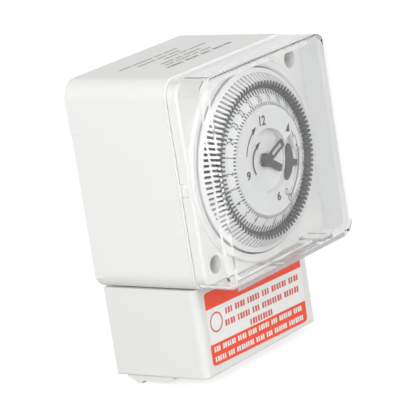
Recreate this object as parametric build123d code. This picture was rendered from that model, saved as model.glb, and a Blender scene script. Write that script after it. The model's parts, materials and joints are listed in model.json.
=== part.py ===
from build123d import *
import os
from math import cos, degrees, radians, sin

# A 24-hour analogue time switch for wall mounting, in millimetres.
# X runs to the right, Z up, and the front faces -Y. The wall plane is y = 0, and the dial
# turns about the Y axis. A depth is a distance from the wall: depth d is the plane y = -d.

# ---- Fits ----
FIT = 0.15                 # gap between parts that only pass each other
SNUG = 0.05                # gap of a running fit
END_PLAY = 0.1             # play along an arbor or tube

# ---- Housing ----
FRONT_SIZE = 72.0          # side of the square upper housing
HALF = FRONT_SIZE / 2
CORNER_R = 6.5             # radius of its long edges
WALL = 2.2                 # housing wall
BACK = 2.5                 # back wall
SEAM = 41.5                # depth where the plug-in module starts
FLANK_RELIEF = 0.5         # shallow step along the rear of each side
FLANK_RELIEF_DEPTH = 4.0
FLANK_RELIEF_DROP = 18.0   # its end below the housing's top

# ---- Terminal chamber ----
TERMINAL_INSET = 3.5       # its sides inside the housing's
TERMINAL_WIDTH = FRONT_SIZE - 2 * TERMINAL_INSET
TERMINAL_HEIGHT = 31.2
TERMINAL_BOTTOM = -HALF - TERMINAL_HEIGHT
TERMINAL_DEPTH = 38.5
TERMINAL_WALL = 1.8
TERMINAL_EDGE_R = 2.6
TERMINAL_RIM_R = 0.7       # rounding of its lower edge
LATCH_WIDTH = 9.0          # thumb latch under the terminal cover
LATCH_INSET = 1.2
LATCH_DROP = 2.2
LATCH_START = 3.4
LATCH_END = 24.9
LATCH_TOE = 1.9            # length of the toe at its rear
LATCH_NUB_START = 3.0      # the nub, measured from the latch's rear
LATCH_NUB_END = 6.3
LATCH_NUB = 1.1            # height of the nub
LATCH_RAMP = 4.8           # sloped run at its front
CABLE_R = 6.0
CABLE_X = 6.0
CABLE_AT = 19.0            # depth of the cable entry's centre
POLES = 5
POLE_MARGIN = 7.5          # terminal cover's sides to the first and last pole's share
POLE_PITCH = (TERMINAL_WIDTH - 2 * POLE_MARGIN) / POLES
BLOCK_TOP = 1.2            # terminal block below the housing floor
BLOCK_HEIGHT = 16.5
BLOCK_DEPTH = 18.0
CAGE_DROP = 5.0            # clamp cages below the block's top
CAGE_WIDTH = 7.0
CAGE_HEIGHT = 7.0
CAGE_LENGTH = 9.0
CAGE_WALL = 0.9
TERMINAL_SCREW_R = 1.5
TERMINAL_SCREW_LENGTH = 3.5
TERMINAL_HEAD_R = 2.3
TERMINAL_HEAD = 2.0
DRIVE_SLOT = 0.8           # width of the slot in every screw head
STRIP = 0.8                # thickness of contact strips and blades
STRIP_WIDTH = 5.0
STRIP_AT = 3.7             # depth of the strips' rear face
SOCKET_RISE = 8.0          # plug-in contacts above the housing's lower face
SOCKET_Z = -HALF + SOCKET_RISE
SOCKET_LEAF = 0.6
SOCKET_LENGTH = 7.0

# ---- Wall screws ----
WALL_HOLE_R = 2.25
WALL_HOLE_DROP = 12.0      # top hole below the housing's top
WALL_HOLE_TOP = HALF - WALL_HOLE_DROP
WALL_SLOT_SPACING = 40.0
WALL_SLOT_LENGTH = 8.0
WALL_SLOT_RISE = 6.7       # slots above the lower end of the terminal chamber
WALL_SLOT_Z = TERMINAL_BOTTOM + WALL_SLOT_RISE

# ---- Clear cover ----
COVER_INSET = 0.25         # the clear cover inside the housing's sides
COVER_HALF = HALF - COVER_INSET
COVER_R = CORNER_R - COVER_INSET
COVER_WALL = 1.2
COVER_FRONT = 1.6          # thickness of its front
COVER_EDGE = 0.6
COVER_DEPTH = 11.4         # height of the clear cover over the bezel
SEAM_GROOVE = 0.8          # groove between the housing and the clear cover
COVER_REAR = SEAM + SEAM_GROOVE
PRY_DEPTH = 2.6            # pry notch in the cover's rear edge
PRY_HEIGHT = 4.4
PRY_Z = -0.7
CATCH_X = 21.0             # catch of the cover, in a slot of the bezel's lower edge
CATCH_WIDTH = 6.0
CATCH_HEIGHT = 2.0
CATCH_REACH = 2.4          # how far it reaches behind the bezel's face

# ---- Bezel ----
BEZEL_THICK = 4.7
BEZEL_FACE = SEAM + BEZEL_THICK
COVER_FACE = BEZEL_FACE + COVER_DEPTH
RIM_RISE = 1.3             # raised rim round the dial
RIM_FACE = BEZEL_FACE + RIM_RISE
RIM_GAP = 0.25             # between the rim and the clear cover's wall
RIM_OUTER_R = COVER_HALF - COVER_WALL - RIM_GAP
RIM_WIDTH = 2.9
RIM_R = RIM_OUTER_R - RIM_WIDTH
RIM_CREST = 1.7            # flat top of the raised rim
BEZEL_HALF = COVER_HALF - COVER_WALL - FIT
BEZEL_R = COVER_R - COVER_WALL - FIT
BEZEL_EDGE = 0.9           # rounding of its front edge
FLANGE_INSET = 0.7         # bezel's flange inside the housing's sides

# ---- Movement, from the front plate to the rear of the case ----
PLATE = 1.2
SEAM_TO_PLATE = 2.0        # front plate behind the seam
FRONT_PLATE_AT = SEAM - SEAM_TO_PLATE
PLATE_SPACING = 10.1       # clear room between the two plates
REAR_PLATE_AT = FRONT_PLATE_AT - PLATE_SPACING - PLATE
PILLAR_R = 2.0
ARBOR_R = 0.75
TUBE_R = 1.5
LEVER_TUBE_R = 2.3
BUSH_R = 3.6
ARBOR_DISTANCE = 12.0      # intermediate and transfer arbors from the dial axis
COARSE = 0.5               # gear modules
FINE = 0.4
MINUTE_TEETH = 40
MOTOR_TEETH = 12
CANNON_TEETH = 12
INTERMEDIATE_TEETH = 36
HOUR_TEETH = 48
INTERMEDIATE_PINION = HOUR_TEETH // 4
TRANSFER_TEETH = 30        # both wheels of the transfer pair
DIAL_TEETH = 40
TRANSFER_PINION = DIAL_TEETH // 2
GEAR_FACE = 1.2
PLATE_GAP = 0.8            # rear plate to the minute wheel
WHEEL_GAP = 0.7            # between wheels that pass each other
TRANSFER_GAP = 1.0
CAM_GAP = 0.5
CAM_THICK = 1.0
MINUTE_WHEEL_AT = REAR_PLATE_AT + PLATE + PLATE_GAP
CANNON_AT = MINUTE_WHEEL_AT + GEAR_FACE + WHEEL_GAP
HOUR_WHEEL_AT = CANNON_AT + GEAR_FACE + WHEEL_GAP
TRANSFER_AT = HOUR_WHEEL_AT + GEAR_FACE + TRANSFER_GAP
MODE_CAM_AT = TRANSFER_AT + GEAR_FACE + CAM_GAP
DIAL_GEAR_GAP = 0.9        # front plate to the dial's gear
DIAL_GEAR_AT = FRONT_PLATE_AT + PLATE + DIAL_GEAR_GAP
DIAL_HUB_R = 5.0
MOTOR_ANGLE = 225.0        # motor direction from the dial axis, counter-clockwise from +X
MOTOR_R = 14.2
MOTOR_DEPTH = 12.1
MOTOR_REAR = REAR_PLATE_AT - MOTOR_DEPTH
MOTOR_WALL = 0.8
COIL_INNER_R = 8.0
ROTOR_R = 7.0
LEAD_R = 0.6
LEAD_IN = 2.3              # leads in front of the motor's rear face
LEAD_AT = MOTOR_REAR + LEAD_IN

# ---- Module case and its screws ----
CASE_GAP = 0.6             # module case inside the base
CASE_WALL = 1.5
CASE_HALF = HALF - WALL - CASE_GAP
MOTOR_GAP = 0.6            # motor to the case's rear wall
CASE_REAR = MOTOR_REAR - MOTOR_GAP - CASE_WALL
PLATE_FIT = 0.5            # plates inside the case
PLATE_HALF = CASE_HALF - CASE_WALL - PLATE_FIT
PILLAR_INSET_X = 7.2       # pillars inside the plates' edges
PILLAR_INSET_Z = 14.2
PILLAR_X = PLATE_HALF - PILLAR_INSET_X
PILLAR_Z = PLATE_HALF - PILLAR_INSET_Z
SCREW_INSET = 8.2          # module screws inside the housing's sides
SCREW_AT = HALF - SCREW_INSET
SCREW_HOLE_R = 3.1
SCREW_R = 1.5
SCREW_HEAD_R = 2.8
SCREW_HEAD = 2.0
SCREW_GRIP = 16.0          # case plastic under the screw head
SCREW_SEAT = CASE_REAR + SCREW_GRIP
SCREW_STOP = 2.5           # screw tip in front of the back wall
SCREW_TIP = BACK + SCREW_STOP
COLUMN_R = 4.4
BASE_COLUMN_R = 3.6
POST_R = 3.0
COLUMN_GAP = 0.4           # plates clear of the columns
BLADE_TIP_GAP = 1.1        # blade tips in front of the contact strips
BLADE_TIP = STRIP_AT + STRIP + BLADE_TIP_GAP
BLADE_IN = 6.0             # motor blades inside the case, from its rear face
BLADE_ROOT = CASE_REAR + BLADE_IN
SWITCH_POLES = 3           # poles on the right that feed the switch

# ---- Switch ----
SWITCH_WIDTH = 26.0
SWITCH_HEIGHT = 8.0
SWITCH_DEPTH = 8.0
SWITCH_OVER = 6.4          # top of the switch over its blades
SWITCH_TOP = SOCKET_Z + SWITCH_OVER
SWITCH_BLADE_SEAT = 1.5
SWITCH_BORE = 4.0          # depth of the plunger's bore
PLUNGER_X = 2.0
PLUNGER_R = 0.9
PLUNGER_STROKE = 1.1
PLUNGER_PROUD = 0.6
FOLLOWER_PIVOT_X = -16.0
FOLLOWER_PIVOT_RISE = 0.6  # pivot over the top of the switch
FOLLOWER_PIVOT_Z = SWITCH_TOP + FOLLOWER_PIVOT_RISE
FOLLOWER_GAP = 0.7         # front plate to the follower
FOLLOWER_AT = FRONT_PLATE_AT + PLATE + FOLLOWER_GAP
FOLLOWER_THICK = 1.2
FOLLOWER_PIN_R = 0.9
TAIL_GAP = 0.2             # tappet tails clear of the follower

# ---- Dial, from its edge inwards ----
DIAL_GAP = 0.6             # round the dial, inside the rim
DIAL_R = RIM_R - DIAL_GAP
DIAL_EDGE = 1.6            # plain edge outside the slots
COMB_R = DIAL_R - DIAL_EDGE
TAPPETS = 96
TAPPET_THICK = 0.85
TAPPET_TRAVEL = 2.3
TAPPET_STOP = 0.4          # left of the slot with the tappet pushed out
TAPPET_OUTER_R = COMB_R - TAPPET_TRAVEL - TAPPET_STOP
TAPPET_WIDTH = 2.4
TAPPET_INNER_R = TAPPET_OUTER_R - TAPPET_WIDTH
SCALE_OUTER_R = TAPPET_INNER_R - END_PLAY
SCALE_WIDTH = 5.35
SCALE_INNER_R = SCALE_OUTER_R - SCALE_WIDTH
SCALE_WALL = 1.3
SLOT_GAP = 0.1
SINGLE_TAPPETS = 4         # tappets with a node of their own, one hour of switching
DIAL_TURN = 2.2            # degrees from the top, clockwise, of the numeral for hour 20

# ---- Dial, from its rear forwards ----
TAPPET_TAIL = 1.0
DIAL_REAR = FOLLOWER_AT + FOLLOWER_THICK + TAIL_GAP + TAPPET_TAIL
DIAL_WEB = 1.2
DIAL_STEP = 2.0            # ledge over the web that carries the hour scale
DIAL_EDGE_HEIGHT = 3.8
DIAL_EDGE_FACE = DIAL_REAR + DIAL_EDGE_HEIGHT
COMB_LIP = 0.7
COMB_OUTER_FACE = DIAL_EDGE_FACE + COMB_LIP
COMB_RISE = 2.9            # slope of the slotted cone
COMB_FACE = COMB_OUTER_FACE + COMB_RISE
COMB_STEP = 2.4            # drop of the comb between the tappets
TAPPET_PROUD = 0.3
TAPPET_FACE = COMB_FACE + TAPPET_PROUD
TAPPET_CHAMFER = 0.9
SCALE_DROP = 2.0           # edge of the hour scale below the tappets
SCALE_OUTER_FACE = TAPPET_FACE - SCALE_DROP
SCALE_RISE = 2.9
SCALE_INNER_FACE = SCALE_OUTER_FACE + SCALE_RISE

# ---- Centre ----
FACE_GAP = 0.2             # fixed face inside the hour scale
FACE_R = SCALE_INNER_R - FACE_GAP
FACE_AT = SCALE_INNER_FACE + SNUG
FACE_BAND = 7.65           # printed band round the recess
RECESS_R = FACE_R - FACE_BAND
RECESS_DEPTH = 2.35
RECESS_FLOOR = FACE_AT - RECESS_DEPTH
FLOOR_THICK = 1.0
CARRIER_BOSS = 1.2         # dial hub over the web
CARRIER_AT = DIAL_REAR + DIAL_WEB + CARRIER_BOSS
CARRIER_THICK = 1.0
SKIRT = 0.9
LEVER_ANGLE = 108.0        # mode lever at rest, degrees clockwise from the top
LEVER_TRAVEL = 12.0
POCKET_WALL = 0.45         # low walls at both edges of the lever's pocket
GRIP_GAP = 0.15            # thumb grip clear of the pocket's inner wall
GRIP_WIDTH = 3.5
GRIP_INNER = RECESS_R + POCKET_WALL + GRIP_GAP
GRIP_OUTER = GRIP_INNER + GRIP_WIDTH
GRIP_LENGTH = 12.2
GRIP_TAPER = 1.2           # its ends narrow over this length
GRIP_RISE = 1.2
STEM_HALF = 1.2
POINTER_INSET = 0.75       # pointer inside the face's edge
POINTER_R = FACE_R - POINTER_INSET
POINTER_WIDTH = 2.2
POINTER_DROP = 0.3         # pointer lower than the grip
POCKET_STEP = 0.1
POCKET_FLOOR = RECESS_FLOOR + POCKET_STEP
POCKET_HALF_ANGLE = 40.0
POCKET_WALL_RISE = 0.5
POCKET_WALL_FACE = POCKET_FLOOR + POCKET_WALL_RISE
GRIP_FACE = POCKET_FLOOR + GRIP_RISE
HAND_THICK = 0.5
HAND_LIFT = 0.5            # hour hand over the recess floor
HANDS_APART = 0.4
HUB_CAP = 0.3
HUB_R = 2.3
HOUR_HAND_AT = RECESS_FLOOR + HAND_LIFT
MINUTE_HAND_AT = HOUR_HAND_AT + HAND_THICK + HANDS_APART
HUB_FACE = MINUTE_HAND_AT + HAND_THICK + HUB_CAP
HOUR_HAND_SHORT = 1.5      # hands shorter than the recess
MINUTE_HAND_SHORT = 0.5
HOUR_HAND_R = RECESS_R - HOUR_HAND_SHORT
MINUTE_HAND_R = RECESS_R - MINUTE_HAND_SHORT
HOUR_HAND_ANGLE = 122.0
MINUTE_HAND_ANGLE = 68.4
HOUR_HAND_WIDTH = 2.5
MINUTE_HAND_WIDTH = 2.8
HAND_RIM = 0.6             # metal left beside the minute hand's window

POLE_XS = [POLE_PITCH * (i - (POLES - 1) / 2) for i in range(POLES)]


def front(depth):
    """The plane at a depth, seen from the front: local x is right, local y is up."""
    return Plane(origin=(0, -depth, 0), x_dir=(1, 0, 0), z_dir=(0, -1, 0))


def slab(sketch, near, far):
    """A sketch drawn from the front and filled from one depth to a larger one."""
    return extrude(front(near) * sketch, far - near, dir=(0, -1, 0))


def disc(r, near, far, x=0.0, z=0.0):
    return slab(Pos(x, z) * Circle(r), near, far)


def ring(outer, inner, near, far, x=0.0, z=0.0):
    return slab(Pos(x, z) * (Circle(outer) - Circle(inner)), near, far)


def plate(half, radius):
    return RectangleRounded(2 * half, 2 * half, radius)


def polygon(*points):
    """A closed outline with its points always run counter-clockwise."""
    turns = sum(a[0] * b[1] - b[0] * a[1] for a, b in zip(points, points[1:] + points[:1]))
    return Polygon(*(points if turns > 0 else reversed(points)), align=None)


def rectangle(x0, x1, z0, z1):
    return Pos((x0 + x1) / 2, (z0 + z1) / 2) * Rectangle(x1 - x0, z1 - z0)


def turned(points):
    """A profile of (radius, depth) points turned about the dial axis."""
    side = Plane(origin=(0, 0, 0), x_dir=(1, 0, 0), z_dir=(0, 0, -1))
    return revolve(side * polygon(*points), Axis.Y, 360)


def side_profile(points, x0, x1):
    """A profile of (depth, z) points filled from x0 to x1."""
    side = Plane(origin=(x0, 0, 0), x_dir=(0, -1, 0), z_dir=(-1, 0, 0))
    return extrude(side * polygon(*points), x1 - x0, dir=(1, 0, 0))


def clockwise(angle):
    """Turn a sketch drawn upwards to an angle clockwise from the top."""
    return Rot(0, 0, -angle)


def sector(inner, outer, angle, half_angle, steps=12):
    """A ring sector centred on an angle clockwise from the top."""
    def arc(r, angles):
        return [(r * sin(radians(a)), r * cos(radians(a))) for a in angles]
    angles = [angle + half_angle * (2 * i / steps - 1) for i in range(steps + 1)]
    return polygon(*arc(outer, angles), *arc(inner, reversed(angles)))


def gear(teeth, module, bore, near, face, phase=0.0, x=0.0, z=0.0):
    """A spur gear with straight-sided teeth. Phase is the angle of a tooth, from +X."""
    pitch_r = module * teeth / 2
    root, tip = pitch_r - 1.15 * module, pitch_r + 0.85 * module
    step = 360 / teeth
    points = []
    for i in range(teeth):
        for r, share in ((root, -0.36), (tip, -0.11), (tip, 0.11), (root, 0.36)):
            a = radians(phase + step * (i + share))
            points.append((r * cos(a), r * sin(a)))
    outline = polygon(*points)
    if bore:
        outline -= Circle(bore)
    return slab(Pos(x, z) * outline, near, near + face)


def mesh_phase(direction, teeth_a, phase_a, teeth_b):
    """Phase of gear b that puts its gap on gear a's tooth, with b at a direction from a."""
    used = (direction - phase_a) * teeth_a / 360
    return direction + 180 - (0.5 - used) * 360 / teeth_b


# ---- Base ----

def base_housing():
    inner = HALF - WALL
    body = slab(plate(HALF, CORNER_R), 0, SEAM)
    body -= slab(plate(inner, CORNER_R - WALL), BACK, SEAM + 1)
    relief = slab(rectangle(HALF - FLANK_RELIEF, HALF + 1, -HALF, HALF - FLANK_RELIEF_DROP), -1, FLANK_RELIEF_DEPTH)
    body -= relief + mirror(relief, Plane.YZ)
    plate_half = TERMINAL_WIDTH / 2 - TERMINAL_WALL - FIT
    lower = rectangle(-plate_half, plate_half, TERMINAL_BOTTOM + TERMINAL_WALL + FIT, -HALF + WALL)
    body += slab(lower, 0, BACK)
    for side in (1, -1):
        body += disc(BASE_COLUMN_R, BACK, CASE_REAR - FIT, side * SCREW_AT, side * SCREW_AT)
        body -= disc(SCREW_R + SNUG, BACK, CASE_REAR, side * SCREW_AT, side * SCREW_AT)
    for x in POLE_XS:
        slot = rectangle(x - STRIP_WIDTH / 2 - FIT, x + STRIP_WIDTH / 2 + FIT, -HALF - 1, -inner + 1)
        body -= slab(slot, STRIP_AT - FIT, STRIP_AT + STRIP + FIT)
    body -= disc(WALL_HOLE_R, -1, BACK + 1, 0, WALL_HOLE_TOP)
    for x in (-WALL_SLOT_SPACING / 2, WALL_SLOT_SPACING / 2):
        slot = SlotOverall(WALL_SLOT_LENGTH, 2 * WALL_HOLE_R)
        body -= slab(Pos(x, WALL_SLOT_Z) * slot, -1, BACK + 1)
    return body


def terminal_block():
    top = -HALF - BLOCK_TOP
    bottom = top - BLOCK_HEIGHT
    half = POLES * POLE_PITCH / 2
    block = slab(rectangle(-half, half, bottom, top), BACK, BLOCK_DEPTH)
    cage_z0, cage_z1 = cage_span()
    cage_front = STRIP_AT - CAGE_WALL + CAGE_LENGTH
    for x in POLE_XS:
        room = CAGE_WIDTH / 2 + FIT
        block -= slab(rectangle(x - room, x + room, bottom - 1, cage_z1 + FIT), BACK - 1, cage_front + FIT)
        slot = rectangle(x - STRIP_WIDTH / 2 - FIT, x + STRIP_WIDTH / 2 + FIT, cage_z1, top + 1)
        block -= slab(slot, BACK - 1, STRIP_AT + STRIP + FIT)
        block -= disc(TERMINAL_HEAD_R + FIT, cage_front, BLOCK_DEPTH + 1, x, (cage_z0 + cage_z1) / 2)
    return block


def cage_span():
    top = -HALF - BLOCK_TOP - CAGE_DROP
    return top - CAGE_HEIGHT, top


def clamp_cages():
    z0, z1 = cage_span()
    rear = STRIP_AT - CAGE_WALL
    cages = []
    for x in POLE_XS:
        half = CAGE_WIDTH / 2
        cage = slab(rectangle(x - half, x + half, z0, z1), rear, rear + CAGE_LENGTH)
        inside = rectangle(x - half + CAGE_WALL, x + half - CAGE_WALL, z0 - 1, z1 + 1)
        cage -= slab(inside, STRIP_AT, rear + CAGE_LENGTH - CAGE_WALL)
        cage -= disc(TERMINAL_SCREW_R + SNUG, STRIP_AT + STRIP, BLOCK_DEPTH, x, (z0 + z1) / 2)
        cages.append(cage)
    return Compound(children=cages)


def terminal_screws():
    z0, z1 = cage_span()
    seat = STRIP_AT - CAGE_WALL + CAGE_LENGTH
    screws = []
    for x in POLE_XS:
        z = (z0 + z1) / 2
        screw = disc(TERMINAL_HEAD_R, seat, seat + TERMINAL_HEAD, x, z)
        screw += disc(TERMINAL_SCREW_R, seat - TERMINAL_SCREW_LENGTH, seat, x, z)
        drive = rectangle(x - TERMINAL_HEAD_R - 1, x + TERMINAL_HEAD_R + 1, z - DRIVE_SLOT / 2, z + DRIVE_SLOT / 2)
        screw -= slab(drive, seat + TERMINAL_HEAD / 2, seat + TERMINAL_HEAD + 1)
        screws.append(screw)
    return Compound(children=screws)


def contact_strips():
    """Each strip is a fork for a blade at the top and a flat tongue in its clamp below."""
    z0, z1 = cage_span()
    near, far = STRIP_AT, STRIP_AT + STRIP
    gap = STRIP / 2 + SNUG
    strips = []
    for x in POLE_XS:
        half = STRIP_WIDTH / 2
        bridge_top = SOCKET_Z + gap + SOCKET_LEAF
        strip = slab(rectangle(x - half, x + half, z0 + 0.5, bridge_top), near, far)
        for z in (SOCKET_Z + gap, SOCKET_Z - gap - SOCKET_LEAF):
            strip += slab(rectangle(x - half, x + half, z, z + SOCKET_LEAF), near, far + SOCKET_LENGTH)
        strips.append(strip)
    return Compound(children=strips)


def latch_profile():
    """The thumb latch in (depth, z): a serrated toe, a nub, a flat and a ramp."""
    z = TERMINAL_BOTTOM
    low = z - LATCH_DROP
    nub_start, nub_end = LATCH_START + LATCH_NUB_START, LATCH_START + LATCH_NUB_END
    nub_slope = (LATCH_NUB_END - LATCH_NUB_START) * 0.3
    ramp_start = LATCH_END - LATCH_RAMP
    return [(LATCH_START, z + 0.5), (LATCH_START, low + 1.3), (LATCH_START + LATCH_TOE - 0.7, low + 1.2),
            (LATCH_START + LATCH_TOE, low + 0.5), (nub_start, low + 0.2), (nub_start + nub_slope, low - LATCH_NUB),
            (nub_end - 0.7, low - LATCH_NUB), (nub_end, low), (ramp_start, low),
            (ramp_start + 2.6, low + 0.9), (LATCH_END, z + 0.5)]


def terminal_cover():
    half = TERMINAL_WIDTH / 2
    top = -HALF - FIT
    outline = rectangle(-half, half, TERMINAL_BOTTOM, top)
    shell = slab(outline, FIT, TERMINAL_DEPTH)
    upright = [e for e in shell.edges().filter_by(Axis.Z) if e.center().Y < -TERMINAL_DEPTH + 1]
    shell = fillet(upright, TERMINAL_EDGE_R)
    low = [e for e in shell.edges() if e.center().Z < TERMINAL_BOTTOM + 0.01 and e.center().Y < -1]
    shell = fillet(low, TERMINAL_RIM_R)
    inner = half - TERMINAL_WALL
    hollow = rectangle(-inner, inner, TERMINAL_BOTTOM + TERMINAL_WALL, top + 1)
    shell -= slab(hollow, FIT - 1, TERMINAL_DEPTH - TERMINAL_WALL)
    for side in (1, -1):
        x0 = half - LATCH_INSET - LATCH_WIDTH
        latch = side_profile(latch_profile(), x0, x0 + LATCH_WIDTH)
        shell += latch if side > 0 else mirror(latch, Plane.YZ)
    floor = Plane(origin=(CABLE_X, -CABLE_AT, TERMINAL_BOTTOM - 1), z_dir=(0, 0, 1))
    shell -= extrude(floor * Circle(CABLE_R), TERMINAL_WALL + 2)
    return shell


# ---- Module shell ----

def module_case():
    half = CASE_HALF
    radius = CORNER_R - WALL - CASE_GAP
    case = slab(plate(half, radius), CASE_REAR, SEAM)
    case -= slab(plate(half - CASE_WALL, radius - CASE_WALL), CASE_REAR + CASE_WALL, SEAM + 1)
    for side in (1, -1):
        at = side * SCREW_AT
        column = disc(COLUMN_R, CASE_REAR, SEAM, at, at)
        post = disc(POST_R, CASE_REAR, FRONT_PLATE_AT, -at, at)
        case += (column + post) & slab(plate(half, radius), CASE_REAR, SEAM)
    for side in (1, -1):
        at = side * SCREW_AT
        case -= disc(SCREW_HOLE_R, SCREW_SEAT, SEAM + 1, at, at)
        case -= disc(SCREW_R + SNUG, CASE_REAR - 1, SCREW_SEAT, at, at)
    for x in POLE_XS:
        w = STRIP_WIDTH / 2
        slot = rectangle(x - w, x + w, SOCKET_Z - STRIP / 2, SOCKET_Z + STRIP / 2)
        case -= slab(slot, CASE_REAR - 1, CASE_REAR + CASE_WALL + 1)
    return case


def front_edges(shape, depth):
    return [e for e in shape.edges() if abs(e.center().Y + depth) < 0.01]


def catch_sketch(play):
    """The catch's outline on the inner side of the cover's lower wall."""
    low = COVER_WALL - COVER_HALF
    half = CATCH_WIDTH / 2 + play
    return rectangle(CATCH_X - half, CATCH_X + half, low - play, low + CATCH_HEIGHT + play)


def bezel():
    """A plate inside the clear cover, with a flange at its rear and a raised rim round the dial."""
    body = slab(plate(BEZEL_HALF, BEZEL_R), SEAM, BEZEL_FACE)
    body = fillet(front_edges(body, BEZEL_FACE), BEZEL_EDGE)
    body += slab(plate(HALF - FLANGE_INSET, CORNER_R - FLANGE_INSET), SEAM, COVER_REAR)
    slope = (RIM_WIDTH - RIM_CREST) / 2
    root = BEZEL_FACE - BEZEL_EDGE
    rim = [(RIM_R, root), (RIM_R, RIM_FACE - slope), (RIM_R + slope, RIM_FACE),
           (RIM_OUTER_R - slope, RIM_FACE), (RIM_OUTER_R, RIM_FACE - slope), (RIM_OUTER_R, root)]
    body += turned(rim)
    body -= disc(RIM_R, SEAM - 1, RIM_FACE + 1)
    body -= slab(catch_sketch(FIT), BEZEL_FACE - CATCH_REACH - FIT, RIM_FACE + 1)
    for side in (1, -1):
        body -= disc(SCREW_HOLE_R, SEAM - 1, RIM_FACE + 1, side * SCREW_AT, side * SCREW_AT)
    return body


def module_screws():
    screws = []
    for side in (1, -1):
        at = side * SCREW_AT
        screw = disc(SCREW_HEAD_R, SCREW_SEAT, SCREW_SEAT + SCREW_HEAD, at, at)
        screw += disc(SCREW_R, SCREW_TIP, SCREW_SEAT, at, at)
        drive = rectangle(-SCREW_HEAD_R - 1, SCREW_HEAD_R + 1, -DRIVE_SLOT / 2, DRIVE_SLOT / 2)
        screw -= slab(Pos(at, at) * drive, SCREW_SEAT + SCREW_HEAD / 2, SCREW_SEAT + SCREW_HEAD + 1)
        screws.append(screw)
    return Compound(children=screws)


def blade_row(xs, root):
    z0, w = SOCKET_Z - STRIP / 2, STRIP_WIDTH / 2
    return Compound(children=[
        slab(rectangle(x - w, x + w, z0, z0 + STRIP), BLADE_TIP, root) for x in xs])


def motor_blades():
    return blade_row(POLE_XS[:-SWITCH_POLES], BLADE_ROOT)


def switch_blades():
    return blade_row(POLE_XS[-SWITCH_POLES:], SWITCH_AT + SWITCH_BLADE_SEAT)


# ---- Movement ----

MOTOR_DISTANCE = COARSE * (MINUTE_TEETH + MOTOR_TEETH) / 2
MOTOR_X = MOTOR_DISTANCE * cos(radians(MOTOR_ANGLE))
MOTOR_Z = MOTOR_DISTANCE * sin(radians(MOTOR_ANGLE))


def movement_plate(near, holes, posts):
    """A square plate bored for its arbors and cut clear of the columns it passes."""
    outline = plate(PLATE_HALF, 3.0)
    corners = [(1, 1), (-1, -1)]
    if posts:
        corners += [(1, -1), (-1, 1)]
    for sx, sz in corners:
        outline -= Pos(sx * SCREW_AT, sz * SCREW_AT) * Circle(COLUMN_R + COLUMN_GAP)
    for x, z, r in holes:
        outline -= Pos(x, z) * Circle(r)
    return slab(outline, near, near + PLATE)


def rear_plate():
    bore = ARBOR_R + SNUG
    holes = [(0, 0, bore), (-ARBOR_DISTANCE, 0, bore), (0, ARBOR_DISTANCE, bore), (MOTOR_X, MOTOR_Z, bore)]
    body = movement_plate(REAR_PLATE_AT, holes, True)
    for x in POLE_XS[-SWITCH_POLES:]:
        half, z0 = STRIP_WIDTH / 2 + FIT, SOCKET_Z - STRIP / 2 - FIT
        slot = rectangle(x - half, x + half, z0, z0 + STRIP + 2 * FIT)
        body -= slab(slot, REAR_PLATE_AT - 1, SWITCH_AT + 1)
    return body


def front_plate():
    """It rests on the two case posts and carries the bush of the dial."""
    holes = [(0, 0, BUSH_R), (-ARBOR_DISTANCE, 0, ARBOR_R + SNUG), (0, ARBOR_DISTANCE, TUBE_R + SNUG),
             (FOLLOWER_PIVOT_X, FOLLOWER_PIVOT_Z, FOLLOWER_PIN_R + SNUG)]
    body = movement_plate(FRONT_PLATE_AT, holes, False)
    reach = PLUNGER_STROKE + FOLLOWER_PIN_R + 0.6
    window = rectangle(PLUNGER_X - 1.6, PLUNGER_X + 1.6, FOLLOWER_PRESS_Z - reach, FOLLOWER_PRESS_Z + 1.6)
    return body - slab(window, FRONT_PLATE_AT - 1, FRONT_PLATE_AT + PLATE + 1)


def plate_pillars():
    near, far = REAR_PLATE_AT + PLATE, FRONT_PLATE_AT
    return Compound(children=[disc(PILLAR_R, near, far, sx * PILLAR_X, sz * PILLAR_Z)
                              for sx in (1, -1) for sz in (1, -1)])


def lead_paths(r):
    """Two straight leads from the motor blades' upper faces to the coil, pointing at its centre."""
    centre = Vector(MOTOR_X, -LEAD_AT, MOTOR_Z)
    paths = []
    for x in POLE_XS[:-SWITCH_POLES]:
        foot = Vector(x, -LEAD_AT, SOCKET_Z)
        start = Plane(origin=foot, z_dir=centre - foot)
        lead = extrude(start * Circle(r), (centre - foot).length - MOTOR_R + MOTOR_WALL)
        paths.append(split(lead, Plane.XY.offset(SOCKET_Z + STRIP / 2), keep=Keep.TOP))
    return paths


def motor_leads():
    return Compound(children=lead_paths(LEAD_R))


def motor_can():
    can = disc(MOTOR_R, MOTOR_REAR, REAR_PLATE_AT, MOTOR_X, MOTOR_Z)
    can -= disc(MOTOR_R - MOTOR_WALL, MOTOR_REAR + MOTOR_WALL, REAR_PLATE_AT + 1, MOTOR_X, MOTOR_Z)
    can -= disc(ARBOR_R + SNUG, MOTOR_REAR - 1, REAR_PLATE_AT, MOTOR_X, MOTOR_Z)
    for path in lead_paths(LEAD_R + SNUG):
        can -= path
    return can


def motor_coil():
    coil = ring(MOTOR_R - MOTOR_WALL, COIL_INNER_R, MOTOR_REAR + MOTOR_WALL, REAR_PLATE_AT - 1.5,
                MOTOR_X, MOTOR_Z)
    for path in lead_paths(LEAD_R + SNUG):
        coil -= path
    return coil


def motor_rotor():
    phase = mesh_phase(MOTOR_ANGLE, MINUTE_TEETH, 0.0, MOTOR_TEETH)
    rotor = disc(ROTOR_R, MOTOR_REAR + MOTOR_WALL + 0.6, REAR_PLATE_AT - 2.0, MOTOR_X, MOTOR_Z)
    rotor += disc(ARBOR_R, MOTOR_REAR, MINUTE_WHEEL_AT + 0.2, MOTOR_X, MOTOR_Z)
    return rotor + gear(MOTOR_TEETH, COARSE, 0, MINUTE_WHEEL_AT - 0.1, GEAR_FACE + 0.2, phase, MOTOR_X, MOTOR_Z)


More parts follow.
